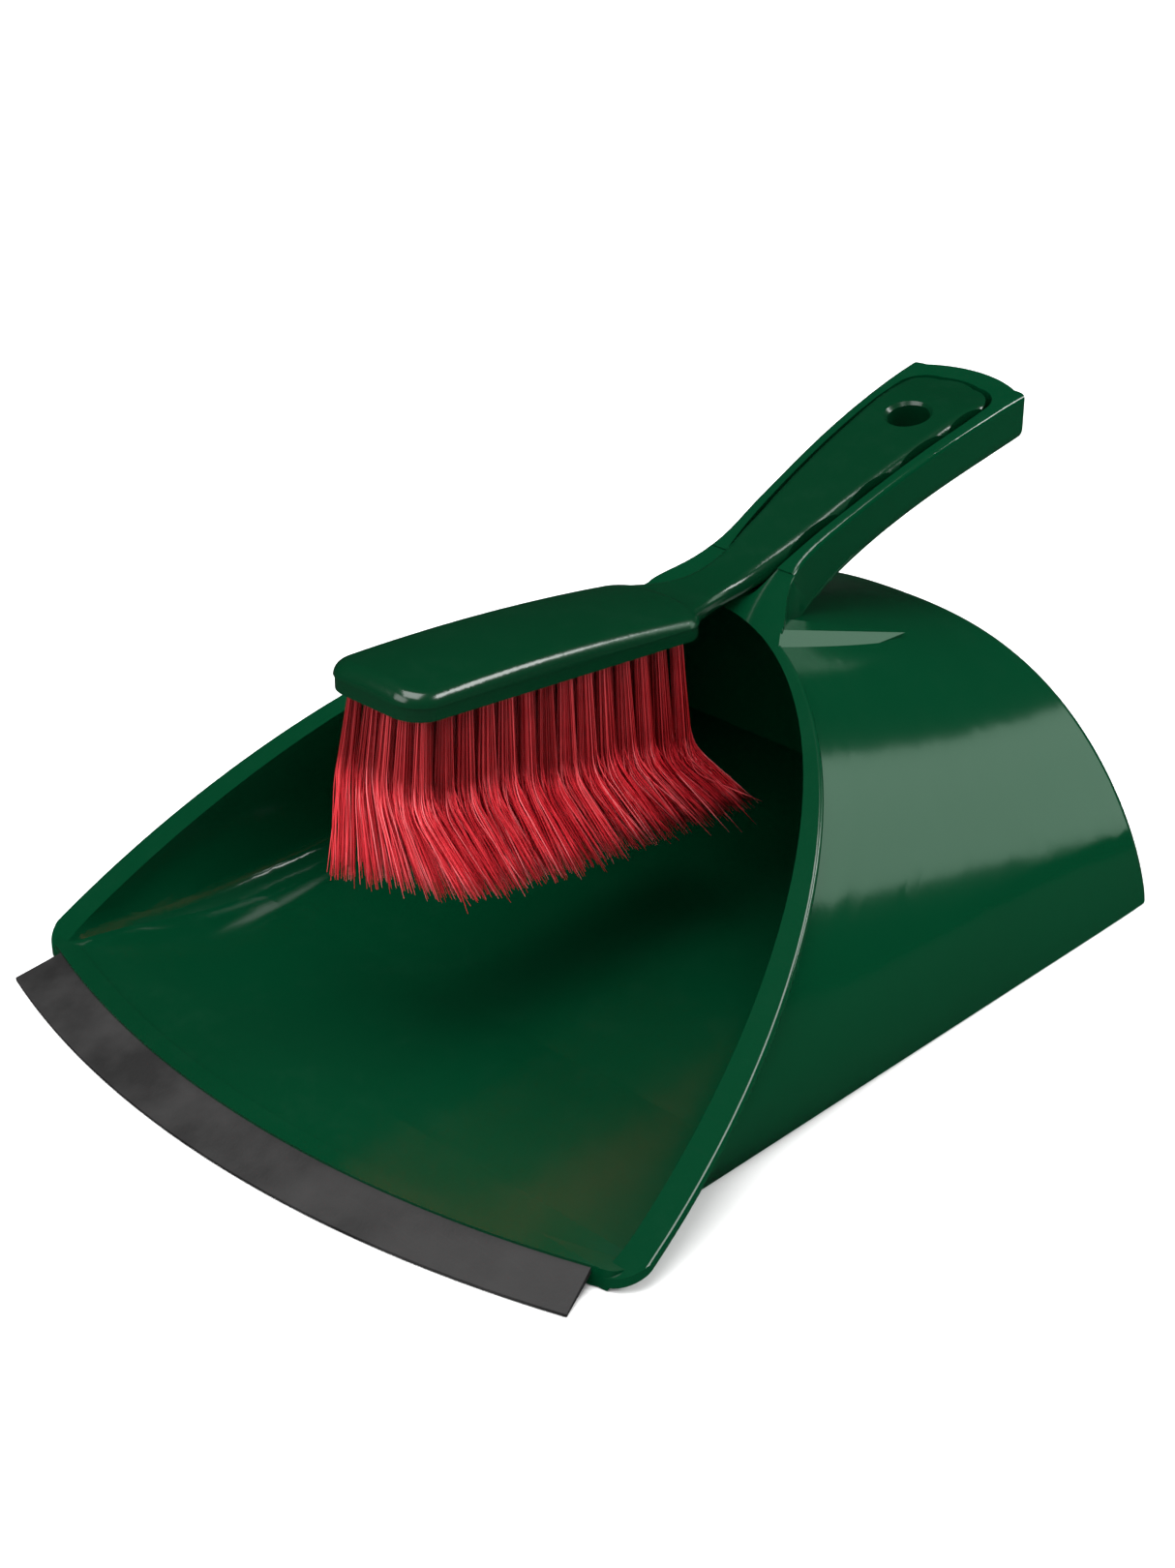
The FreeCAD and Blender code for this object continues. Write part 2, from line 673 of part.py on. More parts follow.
def tuft_frame(column, row):
    """Return a tuft's mouth on the underside, its downward direction and its swept direction."""
    share = column / (COLUMN_COUNT - 1)
    station = FIRST_COLUMN + COLUMN_PITCH * column
    offset = row - (ROW_COUNT - 1) / 2
    mouth = Vector(offset * ROW_PITCH, station, block_underside(station))
    fan = math.radians(FAN_FRONT + (FAN_REAR - FAN_FRONT) * share)
    side = math.radians(FAN_SIDE) * offset / 2
    down = Vector(math.sin(side), math.sin(fan), -math.cos(fan) * math.cos(side))
    down.normalize()
    sweep = math.radians(SWEEP_FRONT + (SWEEP_REAR - SWEEP_FRONT) * share)
    swept = Vector(math.sin(side), math.sin(sweep), -math.cos(sweep))
    swept.normalize()
    return mouth, down, swept


def tuft(column, row):
    """Return one tuft: a seated root, a straight run, a bend and the swept end."""
    mouth, down, swept = tuft_frame(column, row)
    share = column / (COLUMN_COUNT - 1)
    straight = TUFT_STRAIGHT_FRONT + (TUFT_STRAIGHT_REAR - TUFT_STRAIGHT_FRONT) * share
    turn = down.getAngle(swept)
    tangent = TUFT_BEND_RADIUS * math.tan(turn / 2)
    root = mouth - down * TUFT_SEAT
    corner = mouth + down * (straight + tangent)
    before = corner - down * tangent
    after = corner + swept * tangent
    inward = (swept - down).normalize()
    middle = corner + inward * (tangent / math.sin(turn / 2) * (1 - math.cos(turn / 2)))
    tip = corner + swept * (tangent + TUFT_SWEPT)
    path = Part.Wire([
        Part.makeLine(root, before),
        Part.Arc(before, middle, after).toShape(),
        Part.makeLine(after, tip),
    ])
    section = Part.Wire(Part.makeCircle(TUFT_RADIUS, root, down))
    return path.makePipeShell([section], True, False)


def anchor(column, row):
    """Return the flat wire that pins a folded tuft to the bottom of its hole."""
    mouth, down, _ = tuft_frame(column, row)
    plate = Part.makeBox(ANCHOR_LENGTH, ANCHOR_THICKNESS, ANCHOR_WIDTH,
                         Vector(-ANCHOR_LENGTH / 2, -ANCHOR_THICKNESS / 2, 0))
    plate.Placement = FreeCAD.Placement(
        mouth - down * (TUFT_SEAT - ANCHOR_SINK), FreeCAD.Rotation(Z_AXIS, down))
    return plate


def tuft_hole(column, row):
    """Return the blind hole that a tuft is seated in."""
    mouth, down, _ = tuft_frame(column, row)
    depth = TUFT_SEAT + HOLE_CLEARANCE
    return Part.makeCylinder(TUFT_RADIUS + HOLE_CLEARANCE, depth + OVERSHOOT, mouth - down * depth, down)


def brush_body(anchors):
    """Return the brush's block, neck and grip as one moulding with its tuft holes."""
    solid = brush_block().fuse(brush_grip())
    holes = []
    for column in range(COLUMN_COUNT):
        for row in range(ROW_COUNT):
            holes.append(tuft_hole(column, row))
    solid = solid.cut(Part.makeCompound(holes))
    solid = solid.cut(Part.makeCompound(anchors))
    solid = solid.cut(hanging_hole(HOLE_RADIUS))
    solid = solid.cut(hole_edge())
    return solid.removeSplitter()


def export(name, shape):
    """Move a finished shape to the origin of the set and write it."""
    shape = shape.copy()
    shape.translate(Vector(0, -BASE_MIDDLE, 0))
    shape.exportStep("parts/" + name + ".step")


def main():
    """Build every piece of the set and write one file for each node."""
    os.makedirs("parts", exist_ok=True)
    lip = rubber_lip()
    export("rubber_lip", lip)
    export("pan_body", pan_body(lip))
    anchors = []
    for row in range(ROW_COUNT):
        pins = [anchor(column, row) for column in range(COLUMN_COUNT)]
        export("anchor_row_%d" % (row + 1), Part.makeCompound(pins))
        anchors.extend(pins)
    export("brush_body", brush_body(anchors))
    pins = Part.makeCompound(anchors)
    for column in range(COLUMN_COUNT):
        tufts = [tuft(column, row).cut(pins) for row in range(ROW_COUNT)]
        export("tuft_column_%02d" % (column + 1), Part.makeCompound(tufts))


main()
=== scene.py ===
"""Visual model of a hooded dust pan and the hand brush that nests in its handle.

Everything is in metres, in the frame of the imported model: +Z up, -Y towards the pan's lip.
"""
import logging
import math
from dataclasses import dataclass, field
from enum import Enum

import bpy
import numpy as np
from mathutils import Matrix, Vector


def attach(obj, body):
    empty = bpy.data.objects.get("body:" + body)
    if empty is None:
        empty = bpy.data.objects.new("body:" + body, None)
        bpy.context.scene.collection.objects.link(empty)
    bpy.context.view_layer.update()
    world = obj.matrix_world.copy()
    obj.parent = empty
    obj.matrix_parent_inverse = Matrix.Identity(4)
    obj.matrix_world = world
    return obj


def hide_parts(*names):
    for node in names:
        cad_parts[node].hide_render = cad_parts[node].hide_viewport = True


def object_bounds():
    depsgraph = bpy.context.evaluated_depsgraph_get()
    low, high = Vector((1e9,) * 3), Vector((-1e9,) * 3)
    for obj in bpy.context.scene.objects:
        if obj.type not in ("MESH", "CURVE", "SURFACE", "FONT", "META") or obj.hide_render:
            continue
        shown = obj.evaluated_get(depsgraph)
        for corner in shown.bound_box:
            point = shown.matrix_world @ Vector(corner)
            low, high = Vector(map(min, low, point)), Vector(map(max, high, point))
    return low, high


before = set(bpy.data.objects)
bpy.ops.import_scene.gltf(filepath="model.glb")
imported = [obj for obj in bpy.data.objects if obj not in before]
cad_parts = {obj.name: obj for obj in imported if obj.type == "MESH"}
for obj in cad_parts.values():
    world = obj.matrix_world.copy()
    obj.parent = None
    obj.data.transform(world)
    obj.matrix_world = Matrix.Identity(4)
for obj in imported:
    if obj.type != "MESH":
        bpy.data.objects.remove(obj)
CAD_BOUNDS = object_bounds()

LOG = logging.getLogger("dust_pan_set")
MM = 0.001
MID_TONE = 0.5
GOLDEN_ANGLE = math.pi * (3 - math.sqrt(5))


class Body(Enum):
    """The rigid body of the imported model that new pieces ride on."""

    BRUSH = "brush"


class Slot(Enum):
    """The record's material slot for bristles, which this script does not give to any piece."""

    BRISTLE = "bristle"


# --------------------------------------------------------------------------------------------
# Shader effects that several finishes share
# --------------------------------------------------------------------------------------------


class NodeTreeWriter:
    """Adds and links nodes in one node tree, laid out from left to right."""

    def __init__(self, tree: bpy.types.NodeTree) -> None:
        """Keep the tree to write in.

        Args:
            tree: the node tree of a material, world or group.
        """
        self.tree = tree
        self.column = 0

    def add(self, kind: str, **settings: object) -> bpy.types.Node:
        """Add a node and set its properties and unlinked inputs.

        Args:
            kind: the node's Blender type name.
            settings: properties of the node, or values of inputs whose names end in _in.

        Returns:
            The new node.
        """
        node = self.tree.nodes.new(kind)
        node.location = (self.column * 180, 0)
        self.column += 1
        for name, value in settings.items():
            if name.endswith("_in"):
                node.inputs[name[:-3].replace("_", " ")].default_value = value
            else:
                setattr(node, name, value)
        return node

    def link(self, source: bpy.types.NodeSocket, target: bpy.types.NodeSocket) -> None:
        """Link an output socket to an input socket."""
        self.tree.links.new(source, target)

    def math(self, operation: str, first: object, second: object = 0.0,
             clamp: bool = False) -> bpy.types.NodeSocket:
        """Add a Math node fed by sockets or numbers.

        Args:
            operation: the Math node's operation.
            first: a socket or a number.
            second: a socket or a number.
            clamp: keep the result between 0 and 1.

        Returns:
            The output socket.
        """
        node = self.add("ShaderNodeMath", operation=operation, use_clamp=clamp)
        for index, value in enumerate((first, second)):
            if isinstance(value, bpy.types.NodeSocket):
                self.link(value, node.inputs[index])
            else:
                node.inputs[index].default_value = value
        return node.outputs[0]

    def ramp(self, factor: bpy.types.NodeSocket, low: float, high: float) -> bpy.types.NodeSocket:
        """Stretch a value so that low becomes 0 and high becomes 1.

        Args:
            factor: the value to stretch.
            low: the value that becomes 0.
            high: the value that becomes 1.

        Returns:
            The clamped result.
        """
        node = self.add("ShaderNodeMapRange", clamp=True)
        self.link(factor, node.inputs["Value"])
        node.inputs["From Min"].default_value = low
        node.inputs["From Max"].default_value = high
        return node.outputs["Result"]

    def mix(self, factor: object, first: object, second: object) -> bpy.types.NodeSocket:
        """Mix two colours.

        Args:
            factor: a socket or a number from 0 to 1.
            first: the colour at 0, a socket or RGBA.
            second: the colour at 1, a socket or RGBA.

        Returns:
            The mixed colour.
        """
        node = self.add("ShaderNodeMix", data_type="RGBA")
        for name, value in (("Factor", factor), ("A", first), ("B", second)):
            sockets = [s for s in node.inputs if s.name == name and s.enabled]
            if isinstance(value, bpy.types.NodeSocket):
                self.link(value, sockets[-1])
            else:
                sockets[-1].default_value = value
        return [s for s in node.outputs if s.enabled][0]


class EffectGroup:
    """A shader node group with named inputs and outputs."""

    def __init__(self, name: str, inputs: dict[str, float], outputs: tuple[str, ...]) -> None:
        """Create the group and its sockets.

        Args:
            name: the group's name.
            inputs: each float input's name and default.
            outputs: the names of the float outputs.
        """
        self.tree = bpy.data.node_groups.new(name, "ShaderNodeTree")
        for socket, value in inputs.items():
            made = self.tree.interface.new_socket(socket, in_out="INPUT", socket_type="NodeSocketFloat")
            made.default_value = value
        for socket in outputs:
            self.tree.interface.new_socket(socket, in_out="OUTPUT", socket_type="NodeSocketFloat")
        self.writer = NodeTreeWriter(self.tree)
        self.source = self.writer.add("NodeGroupInput")
        self.sink = self.writer.add("NodeGroupOutput")

    def place(self, writer: NodeTreeWriter, **values: float) -> bpy.types.Node:
        """Put this group in another tree.

        Args:
            writer: the tree to put it in.
            values: the inputs to set, with _ for spaces.

        Returns:
            The group node.
        """
        node = writer.add("ShaderNodeGroup", node_tree=self.tree)
        for name, value in values.items():
            node.inputs[name.replace("_", " ")].default_value = value
        return node


def build_surface_drift() -> EffectGroup:
    """Build the slow change of tone that any moulded surface has.

    Returns:
        A group with the output Drift, around 0.
    """
    group = EffectGroup("surface_drift", {"Scale": 12.0, "Amount": 0.1}, ("Drift",))
    w = group.writer
    coordinate = w.add("ShaderNodeTexCoord")
    noise = w.add("ShaderNodeTexNoise", Detail_in=3.0, Roughness_in=0.55)
    w.link(coordinate.outputs["Object"], noise.inputs["Vector"])
    w.link(group.source.outputs["Scale"], noise.inputs["Scale"])
    centred = w.math("SUBTRACT", noise.outputs["Fac"], MID_TONE)
    w.link(w.math("MULTIPLY", centred, group.source.outputs["Amount"]), group.sink.inputs["Drift"])
    return group


def build_handling_marks() -> EffectGroup:
    """Build the hair-fine rubs and smudges that handling leaves on glossy plastic.

    Returns:
        A group with the output Marks, from 0 to 1.
    """
    group = EffectGroup("handling_marks", {"Scale": 60.0, "Amount": 0.5}, ("Marks",))
    w = group.writer
    coordinate = w.add("ShaderNodeTexCoord")
    total = None
    # Each set of streaks has its own angle, in radians, and its own stretch
    for angle, stretch in ((0.5, 26.0), (2.1, 34.0)):
        mapping = w.add("ShaderNodeMapping")
        mapping.inputs["Rotation"].default_value = (angle * 0.4, angle * 0.7, angle)
        mapping.inputs["Scale"].default_value = (1.0, stretch, stretch * 0.6)
        w.link(coordinate.outputs["Object"], mapping.inputs["Vector"])
        noise = w.add("ShaderNodeTexNoise", Detail_in=2.0, Roughness_in=0.5)
        w.link(mapping.outputs["Vector"], noise.inputs["Vector"])
        w.link(group.source.outputs["Scale"], noise.inputs["Scale"])
        streak = w.ramp(noise.outputs["Fac"], 0.63, 0.74)
        total = streak if total is None else w.math("MAXIMUM", total, streak)
    patch = w.add("ShaderNodeTexNoise", Scale_in=14.0, Detail_in=3.0)
    w.link(coordinate.outputs["Object"], patch.inputs["Vector"])
    masked = w.math("MULTIPLY", total, w.ramp(patch.outputs["Fac"], 0.42, 0.68))
    w.link(w.math("MULTIPLY", masked, group.source.outputs["Amount"], clamp=True),
           group.sink.inputs["Marks"])
    return group


def build_dust_film() -> EffectGroup:
    """Build the thin dust that settles on faces that look up, which is also where dirt rubs.

    Returns:
        A group with the outputs Dust and Upward, from 0 to 1.
    """
    group = EffectGroup("dust_film", {"Scale": 90.0, "Amount": 0.2}, ("Dust", "Upward"))
    w = group.writer
    geometry = w.add("ShaderNodeNewGeometry")
    split = w.add("ShaderNodeSeparateXYZ")
    w.link(geometry.outputs["Normal"], split.inputs["Vector"])
    upward = w.ramp(split.outputs["Z"], 0.55, 1.0)
    w.link(upward, group.sink.inputs["Upward"])
    coordinate = w.add("ShaderNodeTexCoord")
    specks = w.add("ShaderNodeTexNoise", Detail_in=6.0, Roughness_in=0.7)
    w.link(coordinate.outputs["Object"], specks.inputs["Vector"])
    w.link(group.source.outputs["Scale"], specks.inputs["Scale"])
    grain = w.ramp(specks.outputs["Fac"], 0.5, 0.8)
    w.link(w.math("MULTIPLY", w.math("MULTIPLY", upward, grain), group.source.outputs["Amount"],
                  clamp=True), group.sink.inputs["Dust"])
    return group


def build_fine_relief() -> EffectGroup:
    """Build the fine uneven relief of a moulded or cut skin.

    Returns:
        A group with the output Height, from 0 to 1.
    """
    group = EffectGroup("fine_relief", {"Scale": 500.0, "Coarse Scale": 40.0, "Coarse Share": 0.5},
                        ("Height",))
    w = group.writer
    coordinate = w.add("ShaderNodeTexCoord")
    layers = []
    for scale in ("Scale", "Coarse Scale"):
        noise = w.add("ShaderNodeTexNoise", Detail_in=2.0, Roughness_in=0.5)
        w.link(coordinate.outputs["Object"], noise.inputs["Vector"])
        w.link(group.source.outputs[scale], noise.inputs["Scale"])
        layers.append(noise.outputs["Fac"])
    coarse = w.math("MULTIPLY", layers[1], group.source.outputs["Coarse Share"])
    w.link(w.math("ADD", layers[0], coarse), group.sink.inputs["Height"])
    return group


@dataclass
class Effects:
    """The shared effect groups, built once."""

    drift: EffectGroup = field(default_factory=build_surface_drift)
    marks: EffectGroup = field(default_factory=build_handling_marks)
    dust: EffectGroup = field(default_factory=build_dust_film)
    relief: EffectGroup = field(default_factory=build_fine_relief)


# --------------------------------------------------------------------------------------------
# Finishes
# --------------------------------------------------------------------------------------------


@dataclass(frozen=True)
class GlossPlastic:
    """Glossy moulded plastic with faint handling marks, dust and an uneven skin."""

    name: str
    colour: tuple[float, float, float]
    pale_colour: tuple[float, float, float] = (0.03, 0.08, 0.055)
    roughness: float = 0.085
    marks_roughness: float = 0.26
    worn_roughness: float = 0.0
    drift_scale: float = 9.0
    drift_amount: float = 0.4
    dark_share: float = 0.72
    light_share: float = 1.25
    marks_amount: float = 0.5
    dust_amount: float = 0.05
    relief_scale: float = 420.0
    relief_coarse_scale: float = 28.0
    relief_coarse_share: float = 1.4
    relief_height: float = 0.003 * MM
    refractive_index: float = 1.49

    def build(self, effects: Effects) -> bpy.types.Material:
        """Build the material.

        Args:
            effects: the shared effect groups.

        Returns:
            The new material.
        """
        material = bpy.data.materials.new(self.name)
        material.use_nodes = True
        tree = material.node_tree
        shader = tree.nodes["Principled BSDF"]
        w = NodeTreeWriter(tree)
        drift = effects.drift.place(w, Scale=self.drift_scale, Amount=self.drift_amount)
        marks = effects.marks.place(w, Amount=self.marks_amount)
        dust = effects.dust.place(w, Amount=self.dust_amount)
        relief = effects.relief.place(w, Scale=self.relief_scale, Coarse_Scale=self.relief_coarse_scale,
                                      Coarse_Share=self.relief_coarse_share)
        dark = tuple(channel * self.dark_share for channel in self.colour)
        light = tuple(channel * self.light_share for channel in self.colour)
        tone = w.math("ADD", drift.outputs["Drift"], MID_TONE, clamp=True)
        colour = w.mix(tone, (*dark, 1.0), (*light, 1.0))
        colour = w.mix(dust.outputs["Dust"], colour, (*self.pale_colour, 1.0))
        w.link(colour, shader.inputs["Base Color"])
        spread = w.add("ShaderNodeMapRange")
        w.link(marks.outputs["Marks"], spread.inputs["Value"])
        spread.inputs["To Min"].default_value = self.roughness
        spread.inputs["To Max"].default_value = self.marks_roughness
        worn = w.math("MULTIPLY", dust.outputs["Upward"], self.worn_roughness)
        w.link(w.math("ADD", spread.outputs["Result"], worn), shader.inputs["Roughness"])
        bump = w.add("ShaderNodeBump", Strength_in=1.0, Distance_in=self.relief_height)
        w.link(relief.outputs["Height"], bump.inputs["Height"])
        w.link(bump.outputs["Normal"], shader.inputs["Normal"])
        shader.inputs["IOR"].default_value = self.refractive_index
        return material


@dataclass(frozen=True)
class MatteRubber:
    """Soft dark rubber, mottled and slightly dusty, with a fine dull skin."""

    name: str = "lip_rubber_finish"
    colour: tuple[float, float, float] = (0.0098, 0.0096, 0.0096)
    worn_colour: tuple[float, float, float] = (0.0215, 0.0208, 0.0208)
    worn_offset: float = 0.35
    marks_share: float = 0.4
    roughness: float = 0.55
    roughness_spread: float = 0.2
    relief_height: float = 0.06 * MM
    specular: float = 0.4

    def build(self, effects: Effects) -> bpy.types.Material:
        """Build the material.

        Args:
            effects: the shared effect groups.

        Returns:
            The new material.
        """
        material = bpy.data.materials.new(self.name)
        material.use_nodes = True
        tree = material.node_tree
        shader = tree.nodes["Principled BSDF"]
        w = NodeTreeWriter(tree)
        drift = effects.drift.place(w, Scale=45.0, Amount=2.6)
        marks = effects.marks.place(w, Scale=40.0, Amount=0.8)
        relief = effects.relief.place(w, Scale=900.0, Coarse_Scale=120.0, Coarse_Share=1.0)
        tone = w.math("ADD", drift.outputs["Drift"], self.worn_offset, clamp=True)
        rub_and_glint = w.math("MULTIPLY", marks.outputs["Marks"], self.marks_share)
        tone = w.math("ADD", tone, rub_and_glint, clamp=True)
        w.link(w.mix(tone, (*self.colour, 1.0), (*self.worn_colour, 1.0)), shader.inputs["Base Color"])
        w.link(w.math("ADD", w.math("MULTIPLY", tone, self.roughness_spread), self.roughness),
               shader.inputs["Roughness"])
        bump = w.add("ShaderNodeBump", Strength_in=1.0, Distance_in=self.relief_height)
        w.link(relief.outputs["Height"], bump.inputs["Height"])
        w.link(bump.outputs["Normal"], shader.inputs["Normal"])
        shader.inputs["Specular IOR Level"].default_value = self.specular
        return material


@dataclass(frozen=True)
class BristleFilament:
    """Red drawn filament with painted light: the swept ends are painted paler where light falls on them,
    and a few strands carry a painted pink glint.
    """

    name: str = "bristle_filament_finish"
    dark: tuple[float, float, float] = (0.12, 0.0005, 0.0015)
    bright: tuple[float, float, float] = (0.5, 0.005, 0.012)
    # Painted light: the colour the swept ends are painted towards, standing in for light falling on them.
    tip: tuple[float, float, float] = (0.95, 0.034, 0.055)
    # Painted highlight: the pale pink that the brightest strands are painted towards as a glint.
    rub_and_glint: tuple[float, float, float] = (1.0, 0.26, 0.28)
    sweep_start: float = 0.3
    sweep_end: float = 0.5
    least_painted_light: float = 0.45
    painted_light_spread: float = 0.5
    glint_sharpness: float = 5.0
    root_glint: float = 0.12
    sweep_glint: float = 0.6
    roughness: float = 0.3
    roughness_spread: float = 0.15

    def build(self, effects: Effects) -> bpy.types.Material:
        """Build the material.

        Args:
            effects: the shared effect groups.

        Returns:
            The new material.
        """
        material = bpy.data.materials.new(self.name)
        material.use_nodes = True
        tree = material.node_tree
        shader = tree.nodes["Principled BSDF"]
        w = NodeTreeWriter(tree)
        tone = w.add("ShaderNodeAttribute", attribute_name=BristleField.TONE)
        along = w.add("ShaderNodeAttribute", attribute_name=BristleField.ALONG)
        drift = effects.drift.place(w, Scale=120.0, Amount=0.5)
        shade = w.math("ADD", tone.outputs["Fac"], drift.outputs["Drift"], clamp=True)
        colour = w.mix(shade, (*self.dark, 1.0), (*self.bright, 1.0))
        # Painted light: from sweep_start to sweep_end along each strand, the colour is mixed towards the
        # painted lit tip colour.
        lit_sweep = w.ramp(along.outputs["Fac"], self.sweep_start, self.sweep_end)
        painted_light_share = w.math("ADD", w.math("MULTIPLY", shade, self.painted_light_spread), self.least_painted_light)
        colour = w.mix(w.math("MULTIPLY", lit_sweep, painted_light_share), colour, (*self.tip, 1.0))
        # Painted highlight: the brightest strands get a pink glint, a little near the root and more along
        # the sweep.
        reach = w.math("ADD", w.math("MULTIPLY", lit_sweep, self.sweep_glint), self.root_glint)
        painted_glints = w.math("MULTIPLY", w.math("POWER", shade, self.glint_sharpness), reach)
        colour = w.mix(painted_glints, colour, (*self.rub_and_glint, 1.0))
        w.link(colour, shader.inputs["Base Color"])
        w.link(w.math("ADD", w.math("MULTIPLY", shade, self.roughness_spread), self.roughness),
               shader.inputs["Roughness"])
        return material


@dataclass(frozen=True)
class DrawnWire:
    """Bright drawn steel wire with fine lengthwise marks."""

    name: str = "anchor_wire_finish"
    colour: tuple[float, float, float] = (0.56, 0.56, 0.54)
    dull_share: float = 0.7
    roughness: float = 0.28
    roughness_spread: float = 0.3

    def build(self, effects: Effects) -> bpy.types.Material:
        """Build the material.

        Args:
            effects: the shared effect groups.

        Returns:
            The new material.
        """
        material = bpy.data.materials.new(self.name)
        material.use_nodes = True
        tree = material.node_tree
        shader = tree.nodes["Principled BSDF"]
        w = NodeTreeWriter(tree)
        marks = effects.marks.place(w, Scale=300.0, Amount=1.0)
        drift = effects.drift.place(w, Scale=200.0, Amount=0.6)
        tone = w.math("ADD", drift.outputs["Drift"], MID_TONE, clamp=True)
        dull = tuple(channel * self.dull_share for channel in self.colour)
        w.link(w.mix(tone, (*dull, 1.0), (*self.colour, 1.0)), shader.inputs["Base Color"])
        marked = w.math("MULTIPLY", marks.outputs["Marks"], self.roughness_spread)
        w.link(w.math("ADD", marked, self.roughness), shader.inputs["Roughness"])
        shader.inputs["Metallic"].default_value = 1.0
        return material


@dataclass
class Finishes:
    """Every material of the set, built once."""

    effects: Effects = field(default_factory=Effects)
    pan: bpy.types.Material = None
    brush: bpy.types.Material = None
    lip: bpy.types.Material = None
    bristle: bpy.types.Material = None
    wire: bpy.types.Material = None

    def __post_init__(self) -> None:
        """Build each finish."""
        self.pan = GlossPlastic("pan_green_finish", (0.0002, 0.0285, 0.0102),
                                worn_roughness=0.09).build(self.effects)
        self.brush = GlossPlastic("brush_green_finish", (0.0002, 0.0225, 0.0078),
                                  roughness=0.2).build(self.effects)
        self.lip = MatteRubber().build(self.effects)
        self.bristle = BristleFilament().build(self.effects)
        self.wire = DrawnWire().build(self.effects)


def dress(piece: bpy.types.Object, material: bpy.types.Material) -> None:
    """Give a piece one material all over.

    Args:
        piece: a mesh object.
        material: its finish.
    """
    piece.data.materials.clear()
    piece.data.materials.append(material)


# --------------------------------------------------------------------------------------------
# Sub-assemblies
# --------------------------------------------------------------------------------------------


@dataclass
class DustPan:
    """The pan's moulding and its soft lip."""

    finishes: Finishes

    def build(self) -> list[bpy.types.Object]:
        """Dress the pan's CAD pieces.

        Returns:
            The shown pieces.
        """
        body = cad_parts["pan_body"]
        dress(body, self.finishes.pan)
        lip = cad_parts["rubber_lip"]
        dress(lip, self.finishes.lip)
        return [body, lip]


@dataclass
class HandBrush:
    """The brush's moulding and the wires that anchor its tufts."""

    finishes: Finishes
    anchor_rows: int = 5

    def build(self) -> list[bpy.types.Object]:
        """Dress the brush's CAD pieces.

        Returns:
            The shown pieces.
        """
        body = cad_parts["brush_body"]
        dress(body, self.finishes.brush)
        pieces = [body]
        for row in range(self.anchor_rows):
            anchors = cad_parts[f"anchor_row_{row + 1}"]
            dress(anchors, self.finishes.wire)
            pieces.append(anchors)
        return pieces


@dataclass(frozen=True)
class TuftLine:
    """The middle line of one tuft: seated root, bend and tip."""

    root: np.ndarray
    bend: np.ndarray
    tip: np.ndarray


